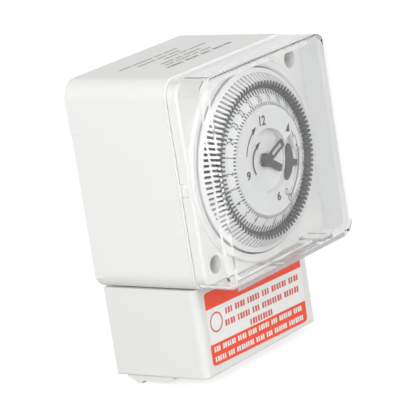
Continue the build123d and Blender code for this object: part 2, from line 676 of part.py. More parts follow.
def minute_arbor():
    arbor = disc(ARBOR_R, REAR_PLATE_AT, MINUTE_HAND_AT)
    return arbor + gear(CANNON_TEETH, COARSE, 0, CANNON_AT, GEAR_FACE)


def minute_wheel():
    wheel = gear(MINUTE_TEETH, COARSE, ARBOR_R, MINUTE_WHEEL_AT, GEAR_FACE)
    return wheel + ring(2.0, ARBOR_R, MINUTE_WHEEL_AT + GEAR_FACE, CANNON_AT)


def intermediate_wheel():
    x = -ARBOR_DISTANCE
    first = mesh_phase(180, CANNON_TEETH, 0.0, INTERMEDIATE_TEETH)
    wheel = disc(ARBOR_R, REAR_PLATE_AT, FRONT_PLATE_AT + PLATE, x, 0)
    wheel += gear(INTERMEDIATE_TEETH, COARSE, 0, CANNON_AT, GEAR_FACE, first, x, 0)
    pinion = HOUR_WHEEL_AT - CANNON_AT
    return wheel + gear(INTERMEDIATE_PINION, FINE, 0, CANNON_AT + GEAR_FACE, pinion, 0.0, x, 0)


def hour_wheel():
    phase = mesh_phase(0, INTERMEDIATE_PINION, 0.0, HOUR_TEETH)
    bore = ARBOR_R + SNUG
    wheel = gear(HOUR_TEETH, FINE, bore, HOUR_WHEEL_AT, GEAR_FACE, phase)
    wheel += gear(TRANSFER_TEETH, FINE, bore, TRANSFER_AT, GEAR_FACE)
    return wheel + ring(TUBE_R, bore, HOUR_WHEEL_AT, HOUR_HAND_AT + HAND_THICK)


def transfer_wheel():
    z = ARBOR_DISTANCE
    phase = mesh_phase(90, TRANSFER_TEETH, 0.0, TRANSFER_TEETH)
    wheel = disc(ARBOR_R, REAR_PLATE_AT, TRANSFER_AT, 0, z)
    wheel += gear(TRANSFER_TEETH, FINE, 0, TRANSFER_AT, GEAR_FACE, phase, 0, z)
    wheel += disc(TUBE_R, TRANSFER_AT + GEAR_FACE, DIAL_GEAR_AT, 0, z)
    return wheel + gear(TRANSFER_PINION, FINE, 0, DIAL_GEAR_AT, GEAR_FACE + 0.4, 0.0, 0, z)


# ---- Switch ----

SWITCH_AT = REAR_PLATE_AT + PLATE
FOLLOWER_PRESS_Z = SWITCH_TOP + PLUNGER_STROKE + PLUNGER_PROUD + FOLLOWER_PIN_R
NOSE_DROP = PLUNGER_STROKE * -FOLLOWER_PIVOT_X / (PLUNGER_X - FOLLOWER_PIVOT_X)
NOSE_R = TAPPET_OUTER_R + TAPPET_TRAVEL - NOSE_DROP


def switch_body():
    x1 = POLE_XS[-1] + STRIP_WIDTH / 2 + 0.5
    z0 = SWITCH_TOP - SWITCH_HEIGHT
    body = slab(rectangle(x1 - SWITCH_WIDTH, x1, z0, SWITCH_TOP), SWITCH_AT, SWITCH_AT + SWITCH_DEPTH)
    for blade in switch_blades().children:
        body -= blade
    bore = Plane(origin=(PLUNGER_X, -SWITCH_AT - SWITCH_DEPTH / 2, SWITCH_TOP - SWITCH_BORE), z_dir=(0, 0, 1))
    return body - extrude(bore * Circle(PLUNGER_R + SNUG), SWITCH_BORE + 1)


def switch_plunger():
    low = SWITCH_TOP - SWITCH_BORE + PLUNGER_STROKE + 3 * END_PLAY
    start = Plane(origin=(PLUNGER_X, -SWITCH_AT - SWITCH_DEPTH / 2, low), z_dir=(0, 0, 1))
    return extrude(start * Circle(PLUNGER_R), SWITCH_TOP + PLUNGER_STROKE + PLUNGER_PROUD - low)


def follower_lever():
    """A lever behind the dial: its nose meets pushed-out tappets, its pin presses the plunger."""
    far = FOLLOWER_AT + FOLLOWER_THICK
    x, z = FOLLOWER_PIVOT_X, FOLLOWER_PIVOT_Z
    low = NOSE_R + 2.0
    bar = polygon((x - 1.5, z - 1.8), (-1.4, -low), (1.4, -low), (PLUNGER_X + 1.8, FOLLOWER_PRESS_Z - 1.4),
                  (PLUNGER_X + 1.2, FOLLOWER_PRESS_Z + 1.4), (x + 1.5, z + 2.0), (x - 1.5, z + 1.8))
    lever = slab(bar, FOLLOWER_AT, far)
    nose = polygon((-1.2, -low), (1.2, -low), (0.4, -NOSE_R), (-0.4, -NOSE_R))
    lever += slab(nose, FOLLOWER_AT, DIAL_REAR - FIT)
    lever += disc(FOLLOWER_PIN_R, FRONT_PLATE_AT, far, x, z)
    return lever + disc(FOLLOWER_PIN_R, SWITCH_AT + 1.0, far, PLUNGER_X, FOLLOWER_PRESS_Z)


# ---- Dial ----

def tappet_angles():
    return [360 / TAPPETS * (i + 0.5) + DIAL_TURN for i in range(TAPPETS)]


def slot_sketch(inner, outer, width):
    return rectangle(-width / 2, width / 2, inner, outer)


def dial_drum():
    web_front = DIAL_REAR + DIAL_WEB
    rear = FRONT_PLATE_AT + PLATE + END_PLAY
    bore = BUSH_R + SNUG
    step = SCALE_OUTER_R - 1.4
    profile = [(bore, rear), (DIAL_HUB_R, rear), (DIAL_HUB_R, DIAL_REAR), (DIAL_R, DIAL_REAR),
               (DIAL_R, DIAL_EDGE_FACE), (COMB_R, COMB_OUTER_FACE), (TAPPET_OUTER_R, COMB_FACE),
               (TAPPET_OUTER_R, COMB_FACE - COMB_STEP), (SCALE_OUTER_R, COMB_FACE - COMB_STEP),
               (SCALE_OUTER_R, web_front + DIAL_STEP), (step, web_front + DIAL_STEP),
               (step, web_front), (DIAL_HUB_R, web_front), (DIAL_HUB_R, CARRIER_AT - END_PLAY),
               (bore, CARRIER_AT - END_PLAY)]
    drum = turned(profile)
    phase = mesh_phase(270, TRANSFER_PINION, 0.0, DIAL_TEETH)
    drum += gear(DIAL_TEETH, FINE, bore, DIAL_GEAR_AT, DIAL_REAR - DIAL_GEAR_AT, phase)
    width = TAPPET_THICK + SLOT_GAP
    slot = slot_sketch(SCALE_OUTER_R - 0.2, COMB_R, width)
    slots = Sketch() + [clockwise(a) * slot for a in tappet_angles()]
    return drum - slab(slots, DIAL_REAR - 1, COMB_FACE + 1)


def hour_scale():
    """The conical 24-hour ring, carried on the drum's step."""
    rear = DIAL_REAR + DIAL_WEB + DIAL_STEP
    outer, inner = SCALE_OUTER_R - FIT, SCALE_INNER_R
    foot = outer - SCALE_WALL
    return turned([(outer, rear), (outer, SCALE_OUTER_FACE), (inner, SCALE_INNER_FACE),
                   (inner, SCALE_INNER_FACE - SCALE_WALL), (foot, SCALE_OUTER_FACE - SCALE_WALL),
                   (foot, rear)])


def tappet(angle):
    """A thin radial slider with a chamfered head and a tail that reaches behind the drum."""
    middle = (TAPPET_INNER_R + TAPPET_OUTER_R) / 2
    tail = DIAL_REAR - TAPPET_TAIL
    head = [(TAPPET_INNER_R, SCALE_OUTER_FACE - 0.5), (TAPPET_INNER_R, TAPPET_FACE - TAPPET_CHAMFER),
            (TAPPET_INNER_R + TAPPET_CHAMFER, TAPPET_FACE), (TAPPET_OUTER_R, TAPPET_FACE),
            (TAPPET_OUTER_R, tail), (middle, tail)]
    side = Plane(origin=(-TAPPET_THICK / 2, 0, 0), x_dir=(0, 0, 1), z_dir=(1, 0, 0))
    body = extrude(side * polygon(*head), TAPPET_THICK, dir=(1, 0, 0))
    return Rot(0, angle, 0) * body


def tappet_rows():
    """The single tappets sit clockwise from the top; the rest share a node."""
    angles = tappet_angles()
    singles = angles[:SINGLE_TAPPETS]
    return singles, angles[SINGLE_TAPPETS:]


# ---- Centre face ----

def face_carrier():
    carrier = ring(BUSH_R, LEVER_TUBE_R + SNUG, FRONT_PLATE_AT, CARRIER_AT)
    return carrier + ring(FACE_R, LEVER_TUBE_R + SNUG, CARRIER_AT, CARRIER_AT + CARRIER_THICK)


def centre_face():
    floor_rear = RECESS_FLOOR - FLOOR_THICK
    rear = CARRIER_AT + CARRIER_THICK
    bore = LEVER_TUBE_R + SNUG
    face = turned([(bore, floor_rear), (FACE_R - SKIRT, floor_rear), (FACE_R - SKIRT, rear),
                   (FACE_R, rear), (FACE_R, FACE_AT), (RECESS_R, FACE_AT), (RECESS_R, RECESS_FLOOR),
                   (bore, RECESS_FLOOR)])
    walls = sector(RECESS_R - 0.3, FACE_R + 1, LEVER_ANGLE, POCKET_HALF_ANGLE)
    face -= slab(walls, POCKET_WALL_FACE, FACE_AT + 1)
    pocket = sector(RECESS_R + POCKET_WALL, FACE_R - POCKET_WALL, LEVER_ANGLE, POCKET_HALF_ANGLE)
    face -= slab(pocket, POCKET_FLOOR, FACE_AT + 1)
    middle = (GRIP_INNER + GRIP_OUTER) / 2
    slot_half = degrees(STEM_HALF / GRIP_INNER) + LEVER_TRAVEL + 1.0
    slot = sector(middle - STEM_HALF - FIT, middle + STEM_HALF + FIT, LEVER_ANGLE, slot_half)
    return face - slab(slot, floor_rear - 1, FACE_AT)


def grip_sketch():
    """The thumb grip: straight towards the dial's axis, bulging outwards, with narrow ends."""
    end, edge = GRIP_LENGTH / 2, GRIP_WIDTH / 2
    shoulder = edge / 2
    bulge = ThreePointArc((end, -shoulder), (0, edge), (-end, -shoulder))
    inside = Polyline((-end, -shoulder), (GRIP_TAPER - end, -edge), (end - GRIP_TAPER, -edge), (end, -shoulder))
    return make_face([bulge, inside])


def mode_lever():
    """A lever about the dial axis: tube, hidden arm, stem, thumb grip and pointer."""
    arm_near = CARRIER_AT + CARRIER_THICK + 2 * END_PLAY
    arm_far = RECESS_FLOOR - FLOOR_THICK - 2 * END_PLAY
    lever = ring(LEVER_TUBE_R, TUBE_R + SNUG, MODE_CAM_AT, arm_far)
    middle = (GRIP_INNER + GRIP_OUTER) / 2
    at_rest = clockwise(LEVER_ANGLE)
    arm = at_rest * rectangle(-2.4, 2.4, (TUBE_R + LEVER_TUBE_R) / 2, middle + STEM_HALF)
    lever += slab(arm - Circle(TUBE_R + SNUG), arm_near, arm_far)
    stem = at_rest * rectangle(-STEM_HALF, STEM_HALF, middle - STEM_HALF, middle + STEM_HALF)
    lever += slab(stem, arm_far - 0.5, GRIP_FACE)
    low = POCKET_FLOOR + END_PLAY
    lever += slab(at_rest * Pos(0, middle) * grip_sketch(), low, GRIP_FACE)
    half = POINTER_WIDTH / 2
    pointer = polygon((-half - 0.9, middle), (half + 0.9, middle), (half, GRIP_OUTER + 0.8), (half, POINTER_R),
                      (-half, POINTER_R), (-half, GRIP_OUTER + 0.8))
    return lever + slab(at_rest * pointer, low, GRIP_FACE - POINTER_DROP)


def mode_cam():
    """An arm on the rear end of the lever's tube that reaches down beside the follower's pin."""
    reach = -FOLLOWER_PRESS_Z - FOLLOWER_PIN_R - 1.2
    arm = polygon((-3.0, -2.0), (3.0, -2.0), (1.6, -reach), (-1.6, -reach))
    outline = Circle(4.0) + arm - Circle(LEVER_TUBE_R)
    return slab(outline, MODE_CAM_AT, MODE_CAM_AT + CAM_THICK)


def hand(length, width, angle, near, far, bore, window):
    blade = polygon((-width / 2, 0), (-width / 2, length - 0.3), (-width / 2 + 0.3, length),
                    (width / 2 - 0.3, length), (width / 2, length - 0.3), (width / 2, 0))
    blade = clockwise(angle) * blade
    if window:
        half = width / 2 - HAND_RIM
        blade -= clockwise(angle) * rectangle(-half, half, HUB_R + HAND_RIM, length - 2 * HAND_RIM)
    outline = blade - Circle(HUB_R - 0.2)
    hub = Circle(HUB_R)
    if bore:
        hub -= Circle(bore)
    return slab(outline, near, near + HAND_THICK) + slab(hub, near, far)


def hour_hand():
    return hand(HOUR_HAND_R, HOUR_HAND_WIDTH, HOUR_HAND_ANGLE, HOUR_HAND_AT,
                HOUR_HAND_AT + HAND_THICK, TUBE_R, False)


def minute_hand():
    return hand(MINUTE_HAND_R, MINUTE_HAND_WIDTH, MINUTE_HAND_ANGLE, MINUTE_HAND_AT,
                HUB_FACE, 0, True)


# ---- Clear cover ----

def clear_cover():
    """A clear box open at its rear, with a pry notch in each side and a catch at its lower edge."""
    cover = slab(plate(COVER_HALF, COVER_R), COVER_REAR, COVER_FACE)
    cover = fillet(front_edges(cover, COVER_FACE), COVER_EDGE)
    inside = plate(COVER_HALF - COVER_WALL, COVER_R - COVER_WALL)
    cover -= slab(inside, COVER_REAR - 1, COVER_FACE - COVER_FRONT)
    notch = rectangle(COVER_HALF - COVER_WALL - 1, HALF + 1, PRY_Z - PRY_HEIGHT / 2, PRY_Z + PRY_HEIGHT / 2)
    notch = slab(notch, COVER_REAR - 1, COVER_REAR + PRY_DEPTH)
    cover -= notch + mirror(notch, Plane.YZ)
    return cover + slab(catch_sketch(0), BEZEL_FACE - CATCH_REACH, COVER_FACE - COVER_FRONT)


def tappet_group(angles):
    return Compound(children=[tappet(a) for a in angles])


def build():
    singles, rest = tappet_rows()
    nodes = {
        "base_housing": base_housing(), "terminal_block": terminal_block(), "clamp_cages": clamp_cages(),
        "terminal_screws": terminal_screws(), "contact_strips": contact_strips(),
        "terminal_cover": terminal_cover(), "module_case": module_case(), "bezel": bezel(),
        "module_screws": module_screws(), "motor_blades": motor_blades(), "switch_blades": switch_blades(),
        "rear_plate": rear_plate(), "front_plate": front_plate(), "plate_pillars": plate_pillars(),
        "motor_can": motor_can(), "motor_coil": motor_coil(), "motor_leads": motor_leads(),
        "motor_rotor": motor_rotor(), "minute_arbor": minute_arbor(),
        "minute_wheel": minute_wheel(), "intermediate_wheel": intermediate_wheel(),
        "hour_wheel": hour_wheel(), "transfer_wheel": transfer_wheel(), "switch_body": switch_body(),
        "switch_plunger": switch_plunger(), "follower_lever": follower_lever(), "dial_drum": dial_drum(),
        "hour_scale": hour_scale(), "tappets": tappet_group(rest), "face_carrier": face_carrier(),
        "centre_face": centre_face(), "mode_lever": mode_lever(), "mode_cam": mode_cam(),
        "hour_hand": hour_hand(), "minute_hand": minute_hand(), "clear_cover": clear_cover(),
    }
    for i, angle in enumerate(singles):
        nodes[f"tappet_{i + 1}"] = tappet(angle)
    return nodes


os.makedirs("parts", exist_ok=True)
for name, shape in build().items():
    export_step(shape, f"parts/{name}.step")
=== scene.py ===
import json
from math import cos, pi, radians, sin

import bpy
import numpy as np
from mathutils import Matrix, Vector


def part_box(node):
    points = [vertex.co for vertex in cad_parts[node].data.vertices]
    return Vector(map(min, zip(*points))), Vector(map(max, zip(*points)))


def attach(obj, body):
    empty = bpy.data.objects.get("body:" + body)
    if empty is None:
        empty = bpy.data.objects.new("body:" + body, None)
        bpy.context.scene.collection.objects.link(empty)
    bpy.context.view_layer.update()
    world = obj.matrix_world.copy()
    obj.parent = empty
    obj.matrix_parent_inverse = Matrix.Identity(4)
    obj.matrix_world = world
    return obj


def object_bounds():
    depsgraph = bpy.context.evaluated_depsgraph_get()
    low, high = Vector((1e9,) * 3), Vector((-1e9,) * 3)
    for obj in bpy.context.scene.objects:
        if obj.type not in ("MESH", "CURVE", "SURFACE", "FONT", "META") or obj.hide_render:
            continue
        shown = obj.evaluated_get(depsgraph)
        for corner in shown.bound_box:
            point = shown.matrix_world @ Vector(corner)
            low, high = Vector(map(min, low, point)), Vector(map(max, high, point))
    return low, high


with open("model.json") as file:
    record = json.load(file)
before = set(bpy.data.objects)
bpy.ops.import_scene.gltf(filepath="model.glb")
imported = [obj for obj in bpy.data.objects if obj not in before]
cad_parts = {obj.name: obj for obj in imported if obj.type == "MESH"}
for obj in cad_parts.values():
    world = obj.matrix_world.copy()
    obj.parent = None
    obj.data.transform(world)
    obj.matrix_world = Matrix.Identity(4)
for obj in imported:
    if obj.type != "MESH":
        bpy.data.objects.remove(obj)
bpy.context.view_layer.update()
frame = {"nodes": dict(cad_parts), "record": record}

# Sizes are in millimetres as on the drawing of the switch: x to the right, z up, and depth
# measured from the wall towards the front. MM turns them into the frame's metres.
MM = 0.001

# ---- Sizes taken from the frame ----


def span(node):
    """Lowest and highest corner of a node in millimetres, as (x0, z0, depth0, x1, z1, depth1)."""
    low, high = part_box(node)
    return (low.x / MM, low.z / MM, -high.y / MM, high.x / MM, high.z / MM, -low.y / MM)


_, _, _, _, HOUSING_TOP, _ = span("base_housing")
_, _, COVER_REAR, COVER_HALF, _, COVER_FACE = span("clear_cover")
COVER_R = 6.25              # corners of the clear cover, seen from the front
COVER_WALL = 1.2
_, _, _, _, _, TERMINAL_FACE = span("terminal_cover")
_, _, _, SCALE_R, _, SCALE_TOP = span("hour_scale")
_, _, _, _, _, FACE_TOP = span("centre_face")
SCALE_INNER_R = 18.65
SCALE_LOW = 49.5            # depth of the scale's outer edge; it rises evenly towards its bore
SCALE_RISE = (SCALE_TOP - SCALE_LOW) / (SCALE_R - SCALE_INNER_R)
RECESS_FLOOR = 50.1
POCKET = RECESS_FLOOR + 0.12        # just above the floor of the lever's pocket
POCKET_WALL = RECESS_FLOOR + 0.62   # just above the low wall round it
COMB_FACE = 51.2
COMB_POINT_R = 25.2         # where the points between the tappets start
COMB_POINT_END = 26.55      # just outside the tappets
COMB_POINT_WIDTH = 0.78
COMB_POINT_DEEP, COMB_POINT_PROUD = 2.3, 0.1
INK, TOP_INK = 0.04, 0.03   # a print's height over its surface, on the dial and on the housing
DIAL_TURN = 2.2             # the dial's turn in the rest position, degrees clockwise
HOUR_STEP = 15.0
QUARTER_STEP = 3.75
HOUR_ON_TOP = 20            # the hour next to the top at rest

# ---- Materials ----

GRAIN_DETAIL = 3.0
CLOUD_SCALE, CLOUD_DETAIL = 38.0, 2.0
BUMP_STRENGTH, BUMP_DISTANCE = 0.12, 0.0005
SPECULAR = 0.4


def node_group(name, inputs, outputs):
    """A shader node group with float or colour sockets, and its two end nodes."""
    kinds = {"f": "NodeSocketFloat", "c": "NodeSocketColor"}
    group = bpy.data.node_groups.new(name, "ShaderNodeTree")
    for label, kind, value in inputs:
        socket = group.interface.new_socket(label, in_out="INPUT", socket_type=kinds[kind])
        socket.default_value = value
    for label, kind in outputs:
        group.interface.new_socket(label, in_out="OUTPUT", socket_type=kinds[kind])
    return group, group.nodes.new("NodeGroupInput"), group.nodes.new("NodeGroupOutput")


def new_material(name):
    """An empty material that has nodes."""
    mat = bpy.data.materials.new(name)
    mat.use_nodes = True
    return mat


def nodes_of(mat):
    """A material's nodes, its link function and its surface shader."""
    tree = mat.node_tree.nodes
    return tree, mat.node_tree.links.new, tree["Principled BSDF"]


def feed(link, value, socket):
    """Set a socket to a number, or join it to another socket."""
    if isinstance(value, (int, float)):
        socket.default_value = value
    else:
        link(value, socket)


def scalar(tree, link, operation, *values):
    """A math node; each value is a number or a socket."""
    node = tree.new("ShaderNodeMath")
    node.operation = operation
    for socket, value in zip(node.inputs, values):
        feed(link, value, socket)
    return node.outputs[0]


def ramp(tree, link, value, low, high):
    """0 below low and 1 above high, with a soft step between them."""
    node = tree.new("ShaderNodeMapRange")
    node.interpolation_type = "SMOOTHSTEP"
    node.inputs["From Min"].default_value = low
    node.inputs["From Max"].default_value = high
    link(value, node.inputs["Value"])
    return node.outputs["Result"]


def noise(tree, link, place, scale, detail):
    """A noise pattern on the part's own coordinates; scale is a number or a socket."""
    node = tree.new("ShaderNodeTexNoise")
    node.inputs["Detail"].default_value = detail
    link(place.outputs["Object"], node.inputs["Vector"])
    feed(link, scale, node.inputs["Scale"])
    return node.outputs["Fac"]


def axes_of(tree, link, vector):
    """The X, Y and Z of a vector socket."""
    node = tree.new("ShaderNodeSeparateXYZ")
    link(vector, node.inputs[0])
    return node.outputs


def mould_grain():
    """Fine spark-eroded grain with a slow cloudy tint, as on moulded housings."""
    inputs = [("Color", "c", (0.8, 0.8, 0.8, 1)), ("Tint", "f", 0.02), ("Grain", "f", 3500.0),
              ("Rough", "f", 0.4), ("Rough Spread", "f", 0.05), ("Height", "f", 0.02)]
    outputs = [("Color", "c"), ("Roughness", "f"), ("Height", "f")]
    group, inp, out = node_group("mould_grain", inputs, outputs)
    tree, link = group.nodes, group.links.new
    value = inp.outputs
    place = tree.new("ShaderNodeTexCoord")
    grain = noise(tree, link, place, value["Grain"], GRAIN_DETAIL)
    cloud = noise(tree, link, place, CLOUD_SCALE, CLOUD_DETAIL)
    centred = scalar(tree, link, "SUBTRACT", cloud, 0.5)
    tint = tree.new("ShaderNodeVectorMath")
    tint.operation = "SCALE"
    link(value["Color"], tint.inputs[0])
    link(scalar(tree, link, "MULTIPLY_ADD", centred, value["Tint"], 1.0), tint.inputs["Scale"])
    rough = scalar(tree, link, "MULTIPLY_ADD", grain, value["Rough Spread"], value["Rough"])
    height = scalar(tree, link, "MULTIPLY", grain, value["Height"])
    for label, result in (("Color", tint.outputs[0]), ("Roughness", rough), ("Height", height)):
        link(result, out.inputs[label])
    return group


GRAIN = mould_grain()


def plastic(name, color, rough, tint, grain=3500.0, height=0.02, spread=0.06):
    """Moulded plastic with the shared grain."""
    mat = new_material(name)
    tree, link, shader = nodes_of(mat)
    grainy = tree.new("ShaderNodeGroup")
    grainy.node_tree = GRAIN
    for label, value in (("Color", (*color, 1)), ("Tint", tint), ("Grain", grain), ("Rough", rough),
                         ("Rough Spread", spread), ("Height", height)):
        grainy.inputs[label].default_value = value
    bump = tree.new("ShaderNodeBump")
    bump.inputs["Strength"].default_value = BUMP_STRENGTH
    bump.inputs["Distance"].default_value = BUMP_DISTANCE
    link(grainy.outputs["Height"], bump.inputs["Height"])
    link(grainy.outputs["Color"], shader.inputs["Base Color"])
    link(grainy.outputs["Roughness"], shader.inputs["Roughness"])
    link(bump.outputs["Normal"], shader.inputs["Normal"])
    shader.inputs["Specular IOR Level"].default_value = SPECULAR
    return mat


def metal(name, color, rough, grain=900.0):
    """Plated or rolled metal with faint streaks."""
    mat = plastic(name, color, rough, tint=0.06, grain=grain, height=0.03, spread=0.15)
    _, _, shader = nodes_of(mat)
    shader.inputs["Metallic"].default_value = 1.0
    return mat


# Bands of the clear cover, in millimetres. Rays that enter a solid corner are guided inside the
# wall, so its surfaces are thinned there.
PANE_ZONE = 1.7             # the corner's zones reach this far behind the front
PANE_INNER = 1.4            # and the pane's inner face lies deeper than this
RIM_BAND = 2.2              # from the outline inwards, on the outer side
INNER_BAND = 4.4            # from the outline inwards, on the pane's inner face
INNER_BAND_ABOVE = 2.0      # it starts this much further out along the top
UNDER_SKIN, UNDER_REACH = 0.2, 4.9
REAR_BAND = 0.5             # along the rear edge
LOW_WALL = 1.25             # the lower wall with its inner side
FACES_UP = (0.15, 0.3)      # a surface's own normal: below is a side, above is the top
SOFT, SOFTER = 0.1, 0.2     # widths of the steps between zones
HAZE_SCALE, HAZE_DETAIL = 60.0, 4.0
HAZE_ROUGH, WALL_ROUGH = 0.02, 0.05
CLEAR_IOR = 1.49


def cover_zones():
    """Masks over the clear cover: its solid corners and edges, and its moulded lower wall."""
    outputs = [("Corner", "f"), ("Lower Wall", "f"), ("Haze", "f")]
    group, _, out = node_group("cover_zones", [], outputs)
    tree, link = group.nodes, group.links.new
    place = tree.new("ShaderNodeTexCoord")
    axes = axes_of(tree, link, place.outputs["Object"])
    normal = axes_of(tree, link, place.outputs["Normal"])
    straight = COVER_HALF - COVER_R
    depth = scalar(tree, link, "MULTIPLY", axes["Y"], -1.0)
    fall = scalar(tree, link, "MULTIPLY", axes["Z"], -1.0)
    across = scalar(tree, link, "ABSOLUTE", axes["X"])

    def beyond(value, limit):
        """How far a value is over a limit, or 0."""
        return scalar(tree, link, "MAXIMUM", scalar(tree, link, "SUBTRACT", value, limit * MM), 0.0)

    def length(a, b):
        """Root of a squared plus b squared."""
        squares = [scalar(tree, link, "MULTIPLY", v, v) for v in (a, b)]
        return scalar(tree, link, "SQRT", scalar(tree, link, "ADD", *squares))

    def over_mm(value, limit, soft=SOFT):
        """1 where a value is over a limit in millimetres."""
        return ramp(tree, link, value, (limit - soft) * MM, limit * MM)

    def both(*masks):
        """Product of the masks."""
        mask = masks[0]
        for other in masks[1:]:
            mask = scalar(tree, link, "MULTIPLY", mask, other)
        return mask

    def outside(mask):
        """1 minus the mask."""
        return scalar(tree, link, "SUBTRACT", 1.0, mask)

    side = beyond(across, straight)
    below = beyond(fall, straight)
    above = beyond(axes["Z"], straight + INNER_BAND_ABOVE)
    upright = outside(ramp(tree, link, normal["Z"], *FACES_UP))
    near_front = over_mm(depth, COVER_FACE - PANE_ZONE)
    inner_face = outside(over_mm(depth, COVER_FACE - PANE_INNER))
    rim = both(over_mm(length(side, below), COVER_R - RIM_BAND, SOFTER), near_front, upright)
    out_of_square = length(side, scalar(tree, link, "MAXIMUM", below, above))
    behind = both(over_mm(out_of_square, COVER_R - INNER_BAND, SOFTER), near_front, inner_face)
    under = both(over_mm(fall, COVER_HALF - UNDER_SKIN), over_mm(depth, COVER_FACE - UNDER_REACH))
    rear = outside(over_mm(depth, COVER_REAR + REAR_BAND, SOFTER))
    corner = rim
    for other in (behind, under, rear):
        corner = scalar(tree, link, "MAXIMUM", corner, other)
    link(corner, out.inputs["Corner"])
    link(over_mm(fall, COVER_HALF - LOW_WALL), out.inputs["Lower Wall"])
    link(noise(tree, link, place, HAZE_SCALE, HAZE_DETAIL), out.inputs["Haze"])
    return group


def clear_plastic(name, color, corner_alpha, wall_alpha, shade):
    """Clear moulded plastic with a faint haze; thinner in its corners, in its lower wall and to
    the rays that cast shadows."""
    mat = new_material(name)
    tree, link, shader = nodes_of(mat)
    masks = tree.new("ShaderNodeGroup")
    masks.node_tree = cover_zones()
    haze = scalar(tree, link, "MULTIPLY", masks.outputs["Haze"], HAZE_ROUGH)
    rough = scalar(tree, link, "MULTIPLY_ADD", masks.outputs["Lower Wall"], WALL_ROUGH, haze)
    shader.inputs["Base Color"].default_value = (*color, 1)
    link(rough, shader.inputs["Roughness"])
    path = tree.new("ShaderNodeLightPath")
    thinned = ((masks.outputs["Corner"], corner_alpha), (masks.outputs["Lower Wall"], wall_alpha),
               (path.outputs["Is Shadow Ray"], shade))
    thin = [scalar(tree, link, "MULTIPLY_ADD", mask, alpha - 1.0, 1.0) for mask, alpha in thinned]
    alpha = scalar(tree, link, "MINIMUM", scalar(tree, link, "MINIMUM", thin[0], thin[1]), thin[2])
    link(alpha, shader.inputs["Alpha"])
    shader.inputs["IOR"].default_value = CLEAR_IOR
    shader.inputs["Transmission Weight"].default_value = 1.0
    return mat


# Painted reflection on the lower wall: a white veil that stands in for the wall's reflection of the
# pale bezel. By x in millimetres: dense on the left of the first range, and in one strip.
DENSE_X = (-7.4, -7.8)
STRIP_LEFT, STRIP_RIGHT = (-5.2, -4.9), (-3.2, -3.5)
DENSE_ALPHA, VEIL_ALPHA, VEIL_SPREAD = 0.6, 0.08, 0.12
VEIL_SCALE = 420.0
EDGE_ALPHA = 0.9


def frosted(name, color):
    """Painted reflection: a white veil for the lower wall's reflection of the pale bezel, dense on
    the left of the wall and in a strip, thinning to an uneven veil.
    """
    mat = plastic(name, color, rough=0.5, tint=0.04, grain=2000.0, height=0.03)
    tree, link, shader = nodes_of(mat)
    place = tree.new("ShaderNodeTexCoord")
    x = axes_of(tree, link, place.outputs["Object"])["X"]
    veil = tree.new("ShaderNodeTexNoise")
    veil.noise_dimensions = "1D"
    veil.inputs["Scale"].default_value = VEIL_SCALE
    link(x, veil.inputs["W"])
    dense_side, left, right = [ramp(tree, link, x, low * MM, high * MM)
                         for low, high in (DENSE_X, STRIP_LEFT, STRIP_RIGHT)]
    strip = scalar(tree, link, "MULTIPLY", left, right)
    dense = scalar(tree, link, "MULTIPLY", scalar(tree, link, "MAXIMUM", dense_side, strip), DENSE_ALPHA)
    uneven = scalar(tree, link, "MULTIPLY_ADD", veil.outputs["Fac"], VEIL_SPREAD, VEIL_ALPHA)
    link(scalar(tree, link, "ADD", dense, uneven), shader.inputs["Alpha"])
    return mat


HOUSING = plastic("housing_plastic", (0.83, 0.83, 0.815), rough=0.40, tint=0.02)
TERMINAL = plastic("terminal_plastic", (0.79, 0.795, 0.77), rough=0.42, tint=0.02)
BEZEL = plastic("bezel_plastic", (0.80, 0.80, 0.785), rough=0.38, tint=0.02)
CASE = plastic("case_plastic", (0.50, 0.50, 0.48), rough=0.5, tint=0.04)
DIAL = plastic("dial_plastic", (0.80, 0.80, 0.80), rough=0.35, tint=0.02)
FACE = plastic("face_plastic", (0.77, 0.77, 0.77), rough=0.35, tint=0.02)
TAPPET = plastic("tappet_plastic", (0.05, 0.056, 0.064), rough=0.38, tint=0.1)
LEVER = plastic("lever_plastic", (0.052, 0.054, 0.054), rough=0.42, tint=0.08)
HANDS = plastic("hand_paint", (0.045, 0.046, 0.05), rough=0.40, tint=0.08)
GEAR = plastic("gear_plastic", (0.72, 0.69, 0.60), rough=0.4, tint=0.05)
ROTOR = plastic("rotor_plastic", (0.03, 0.03, 0.035), rough=0.45, tint=0.1)
STEEL = metal("plated_steel", (0.62, 0.63, 0.64), rough=0.28)
PLATE = metal("rolled_plate", (0.72, 0.73, 0.74), rough=0.35, grain=400.0)
BRASS = metal("brass_strip", (0.78, 0.60, 0.30), rough=0.3)
COPPER = metal("enamelled_winding", (0.70, 0.33, 0.16), rough=0.35, grain=2500.0)
CLEAR = clear_plastic("clear_plastic", (0.77, 0.775, 0.775), corner_alpha=0.1, wall_alpha=0.25,
                      shade=0.2)
# A white veil on the lower wall: painted reflection of the pale bezel
PAINTED_REFLECTION = frosted("veil_painted_reflection", (0.85, 0.855, 0.85))
# A grey sheet for the cover's lower front edge: painted shade along that edge
EDGE_SHADE = plastic("edge_painted_shade", (0.50, 0.505, 0.52), rough=0.5, tint=0.05)
nodes_of(EDGE_SHADE)[2].inputs["Alpha"].default_value = EDGE_ALPHA
PRINT = plastic("dial_print", (0.03, 0.03, 0.033), rough=0.5, tint=0.05)
PRINT_NUMERAL = plastic("numeral_print", (0.075, 0.076, 0.08), rough=0.5, tint=0.05)
PRINT_SOFT = plastic("fine_print", (0.24, 0.24, 0.245), rough=0.5, tint=0.05)
LABEL_PAPER = plastic("label_paper", (0.86, 0.87, 0.85), rough=0.45, tint=0.01)
LABEL_RED = plastic("label_red", (0.88, 0.075, 0.03), rough=0.45, tint=0.02)
LABEL_TEXT = plastic("label_text", (0.66, 0.13, 0.10), rough=0.45, tint=0.04)

